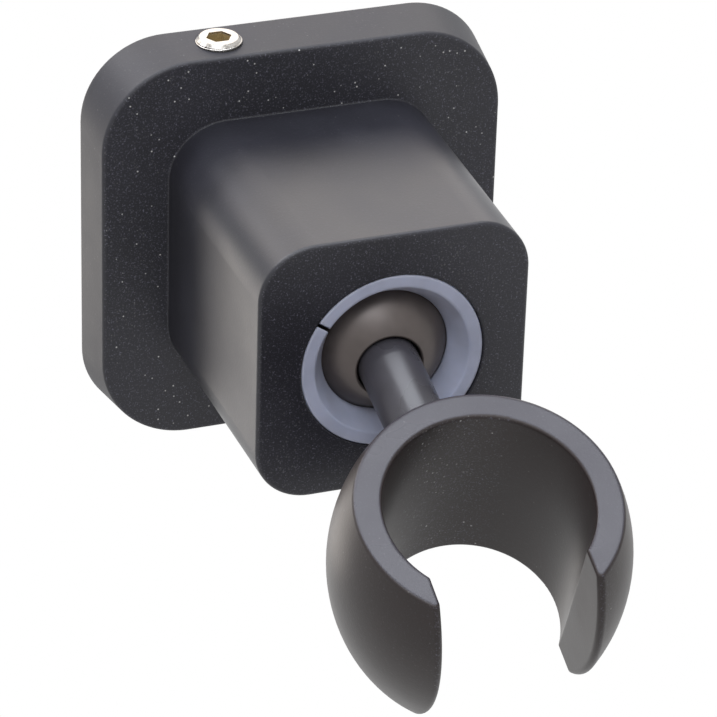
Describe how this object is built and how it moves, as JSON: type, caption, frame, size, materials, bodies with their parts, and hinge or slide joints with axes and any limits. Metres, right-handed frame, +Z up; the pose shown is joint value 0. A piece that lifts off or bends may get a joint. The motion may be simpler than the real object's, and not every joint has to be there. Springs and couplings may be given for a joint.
{
  "type": "hand shower holder",
  "caption": "Wall bracket for a hand shower: square flange and block, ball joint in a split bush, and a tapered C-shaped cradle on a cranked stem.",
  "frame": {"origin": "centre of the wall face, on the wall plane", "axes": "+Y into the wall, so the holder stands out towards -Y; +Z up, with the set screw in the flange's top edge; +X to the right as the user faces the wall"},
  "size_m": [0.0562, 0.0883, 0.0596],
  "materials": {
    "black_coat": "fine matte powder coat",
    "black_coat_cradle": "fine matte powder coat",
    "dark_satin": "satin black",
    "dark_satin_ball": "satin black",
    "white_nylon": "translucent natural nylon",
    "seat_nylon": "natural nylon",
    "washer_steel": "zinc plated",
    "spring_steel": "oiled spring steel",
    "plug_brass": "turned",
    "plate_steel": "zinc plated",
    "screw_steel": "bright stainless"
  },
  "bodies": {
    "bracket": {"housing": "black_coat", "wall_plate": "plate_steel", "set_screw": "screw_steel", "rear_seat": "seat_nylon", "thrust_washer": "washer_steel", "front_disc_spring": "spring_steel", "rear_disc_spring": "spring_steel", "tension_plug": "plug_brass"},
    "bush": {"split_bush": "white_nylon"},
    "ball": {"ball": "dark_satin_ball"},
    "holder": {"stem": "dark_satin", "cradle": "black_coat_cradle"}
  },
  "joints": [
    {"name": "swing", "type": "hinge", "parent": "bracket", "child": "bush", "pos_m": [0, -0.0349, 0], "axis": [0, -1, 0], "continuous": true},
    {"name": "tilt", "type": "hinge", "parent": "bush", "child": "ball", "pos_m": [0, -0.0349, 0], "axis": [0.7386, 0, -0.6741], "range_deg": [-27.7, 18.3]},
    {"name": "turn", "type": "hinge", "parent": "ball", "child": "holder", "pos_m": [0, -0.0349, 0], "axis": [-0.0557, -0.9966, -0.061], "continuous": true}
  ]
}
